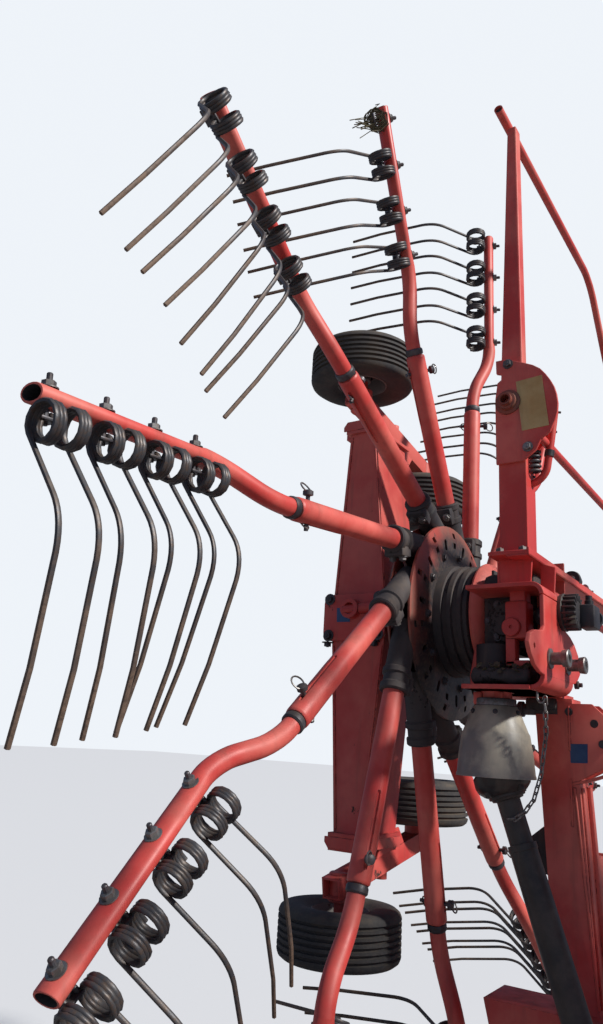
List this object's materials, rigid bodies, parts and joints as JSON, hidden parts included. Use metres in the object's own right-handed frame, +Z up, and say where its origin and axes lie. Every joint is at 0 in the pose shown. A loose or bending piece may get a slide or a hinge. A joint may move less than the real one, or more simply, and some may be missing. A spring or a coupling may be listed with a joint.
{
  "type": "folded twin rotor rake",
  "caption": "Trailed hay rake with two rotors folded upright for the road, spring tines on bent arms, small wheels under each rotor and a road axle.",
  "frame": {"origin": "on the ground under the middle of the machine's length", "axes": "+X forward to the hitch, +Y left, +Z up"},
  "size_m": [5.0599, 2.9388, 3.7125],
  "materials": {
    "red paint": "faded orange-red paint, dusty, chipped to dark metal",
    "tine steel": "spring steel, dark at the coils and rust brown at the tips",
    "hub": "cast head under old grease and dust",
    "tyre": "dusty black rubber",
    "black paint": "worn black paint",
    "grey plastic": "scuffed grey guard",
    "black plastic": "black shaft guard tube",
    "bright steel": "rod",
    "galvanised": "dull zinc"
  },
  "bodies": {
    "frame": {"main_frame": "red paint", "transport_axle": "red paint", "centre_gearbox": "red paint", "input_line": "black plastic", "jack_tube": "red paint"},
    "headstock": {"headstock": "red paint"},
    "jack": {"jack_leg": "galvanised"},
    "arm_left": {"cradle_left": "red paint", "fold_arm_left": "red paint", "gearbox_left": "red paint", "shaft_cone_left": "grey plastic", "axle_beam_left": "red paint", "bogies_left": "red paint", "guard_frame_left": "red paint"},
    "guard_left": {"guard_hoop_left": "red paint"},
    "rotor_left": {"rotor_head_left": "hub", "rake_arms_left": "red paint", "tines_left": "tine steel"},
    "shaft_tube_left": {"drive_shaft_tube_left": "black plastic"},
    "shaft_rod_left": {"drive_shaft_rod_left": "black plastic"},
    "barrel_left": {"fold_cylinder_barrel_left": "black paint"},
    "rod_left": {"fold_cylinder_rod_left": "bright steel"},
    "outer_rear_wheel_left": {"outer_rear_wheel_left": "tyre"},
    "outer_front_wheel_left": {"outer_front_wheel_left": "tyre"},
    "inner_rear_wheel_left": {"inner_rear_wheel_left": "tyre"},
    "inner_front_wheel_left": {"inner_front_wheel_left": "tyre"},
    "road_wheel_left": {"road_wheel_left": "tyre"},
    "arm_right": {"cradle_right": "red paint", "fold_arm_right": "red paint", "gearbox_right": "red paint", "shaft_cone_right": "grey plastic", "axle_beam_right": "red paint", "bogies_right": "red paint", "guard_frame_right": "red paint"},
    "guard_right": {"guard_hoop_right": "red paint"},
    "rotor_right": {"rotor_head_right": "hub", "rake_arms_right": "red paint", "tines_right": "tine steel"},
    "shaft_tube_right": {"drive_shaft_tube_right": "black plastic"},
    "shaft_rod_right": {"drive_shaft_rod_right": "black plastic"},
    "barrel_right": {"fold_cylinder_barrel_right": "black paint"},
    "rod_right": {"fold_cylinder_rod_right": "bright steel"},
    "outer_rear_wheel_right": {"outer_rear_wheel_right": "tyre"},
    "outer_front_wheel_right": {"outer_front_wheel_right": "tyre"},
    "inner_rear_wheel_right": {"inner_rear_wheel_right": "tyre"},
    "inner_front_wheel_right": {"inner_front_wheel_right": "tyre"},
    "road_wheel_right": {"road_wheel_right": "tyre"}
  },
  "joints": [
    {"name": "headstock_swivel", "type": "hinge", "parent": "frame", "child": "headstock", "pos_m": [2.12, 0, 0.9], "axis": [0, 0, 1], "range_deg": [-50, 50]},
    {"name": "jack_slide", "type": "slide", "parent": "frame", "child": "jack", "axis": [0, 0, 1], "range_m": [0, 0.3]},
    {"name": "fold_left", "type": "hinge", "parent": "frame", "child": "arm_left", "pos_m": [-0.27, 0.72, 0.75], "axis": [-1, 0, 0], "range_deg": [0, 90]},
    {"name": "guard_fold_left", "type": "hinge", "parent": "arm_left", "child": "guard_left", "pos_m": [-0.5, 0.668, 2.645], "axis": [1, 0, 0], "range_deg": [0, 35]},
    {"name": "rotor_spin_left", "type": "hinge", "parent": "arm_left", "child": "rotor_left", "pos_m": [-0.3, 0.98, 2.05], "axis": [0, 1, 0], "continuous": true},
    {"name": "outer_rear_wheel_spin_left", "type": "hinge", "parent": "arm_left", "child": "outer_rear_wheel_left", "pos_m": [-0.335, 1.284, 2.972], "axis": [0, 0, 1], "continuous": true},
    {"name": "outer_front_wheel_spin_left", "type": "hinge", "parent": "arm_left", "child": "outer_front_wheel_left", "pos_m": [0.169, 1.284, 2.613], "axis": [0, 0, 1], "continuous": true},
    {"name": "inner_rear_wheel_spin_left", "type": "hinge", "parent": "arm_left", "child": "inner_rear_wheel_left", "pos_m": [-0.335, 1.284, 1.128], "axis": [0, 0, 1], "continuous": true},
    {"name": "inner_front_wheel_spin_left", "type": "hinge", "parent": "arm_left", "child": "inner_front_wheel_left", "pos_m": [0.169, 1.284, 1.487], "axis": [0, 0, 1], "continuous": true},
    {"name": "road_wheel_spin_left", "type": "hinge", "parent": "frame", "child": "road_wheel_left", "pos_m": [-2.15, 0.9, 0.38], "axis": [0, 1, 0], "continuous": true},
    {"name": "cylinder_swing_left", "type": "hinge", "parent": "frame", "child": "barrel_left", "pos_m": [-0.11, 0.14, 0.8], "axis": [-1, 0, 0], "range_deg": [0, 46.51]},
    {"name": "cylinder_stroke_left", "type": "slide", "parent": "barrel_left", "child": "rod_left", "axis": [0, 0.6575, 0.7534], "range_m": [0, 0.4516]},
    {"name": "shaft_swing_left", "type": "hinge", "parent": "frame", "child": "shaft_tube_left", "pos_m": [-0.47, 0.42, 0.66], "axis": [-1, 0, 0], "range_deg": [0, 68.78]},
    {"name": "shaft_slide_left", "type": "slide", "parent": "shaft_tube_left", "child": "shaft_rod_left", "axis": [0, 0.3119, 0.9501], "range_m": [0, 0.1603]},
    {"name": "fold_right", "type": "hinge", "parent": "frame", "child": "arm_right", "pos_m": [-0.27, -0.72, 0.75], "axis": [1, 0, 0], "range_deg": [0, 90]},
    {"name": "guard_fold_right", "type": "hinge", "parent": "arm_right", "child": "guard_right", "pos_m": [-0.5, -0.668, 2.645], "axis": [-1, 0, 0], "range_deg": [0, 35]},
    {"name": "rotor_spin_right", "type": "hinge", "parent": "arm_right", "child": "rotor_right", "pos_m": [-0.3, -0.98, 2.05], "axis": [0, 1, 0], "continuous": true},
    {"name": "outer_rear_wheel_spin_right", "type": "hinge", "parent": "arm_right", "child": "outer_rear_wheel_right", "pos_m": [-0.335, -1.284, 2.972], "axis": [0, 0, 1], "continuous": true},
    {"name": "outer_front_wheel_spin_right", "type": "hinge", "parent": "arm_right", "child": "outer_front_wheel_right", "pos_m": [0.169, -1.284, 2.613], "axis": [0, 0, 1], "continuous": true},
    {"name": "inner_rear_wheel_spin_right", "type": "hinge", "parent": "arm_right", "child": "inner_rear_wheel_right", "pos_m": [-0.335, -1.284, 1.128], "axis": [0, 0, 1], "continuous": true},
    {"name": "inner_front_wheel_spin_right", "type": "hinge", "parent": "arm_right", "child": "inner_front_wheel_right", "pos_m": [0.169, -1.284, 1.487], "axis": [0, 0, 1], "continuous": true},
    {"name": "road_wheel_spin_right", "type": "hinge", "parent": "frame", "child": "road_wheel_right", "pos_m": [-2.15, -0.9, 0.38], "axis": [0, 1, 0], "continuous": true},
    {"name": "cylinder_swing_right", "type": "hinge", "parent": "frame", "child": "barrel_right", "pos_m": [-0.11, -0.14, 0.8], "axis": [1, 0, 0], "range_deg": [0, 46.51]},
    {"name": "cylinder_stroke_right", "type": "slide", "parent": "barrel_right", "child": "rod_right", "axis": [0, -0.6575, 0.7534], "range_m": [0, 0.4516]},
    {"name": "shaft_swing_right", "type": "hinge", "parent": "frame", "child": "shaft_tube_right", "pos_m": [-0.47, -0.42, 0.66], "axis": [1, 0, 0], "range_deg": [0, 68.78]},
    {"name": "shaft_slide_right", "type": "slide", "parent": "shaft_tube_right", "child": "shaft_rod_right", "axis": [0, -0.3119, 0.9501], "range_m": [0, 0.1603]}
  ],
  "couplings": [
    {"joint": "cylinder_swing_left", "follows": "fold_left", "ratio": 0.51624},
    {"joint": "cylinder_stroke_left", "follows": "fold_left", "m_per_rad": 0.28715},
    {"joint": "shaft_swing_left", "follows": "fold_left", "ratio": 0.76362},
    {"joint": "shaft_slide_left", "follows": "fold_left", "m_per_rad": 0.10172},
    {"joint": "cylinder_swing_right", "follows": "fold_right", "ratio": 0.51624},
    {"joint": "cylinder_stroke_right", "follows": "fold_right", "m_per_rad": 0.28715},
    {"joint": "shaft_swing_right", "follows": "fold_right", "ratio": 0.76362},
    {"joint": "shaft_slide_right", "follows": "fold_right", "m_per_rad": 0.10172}
  ]
}
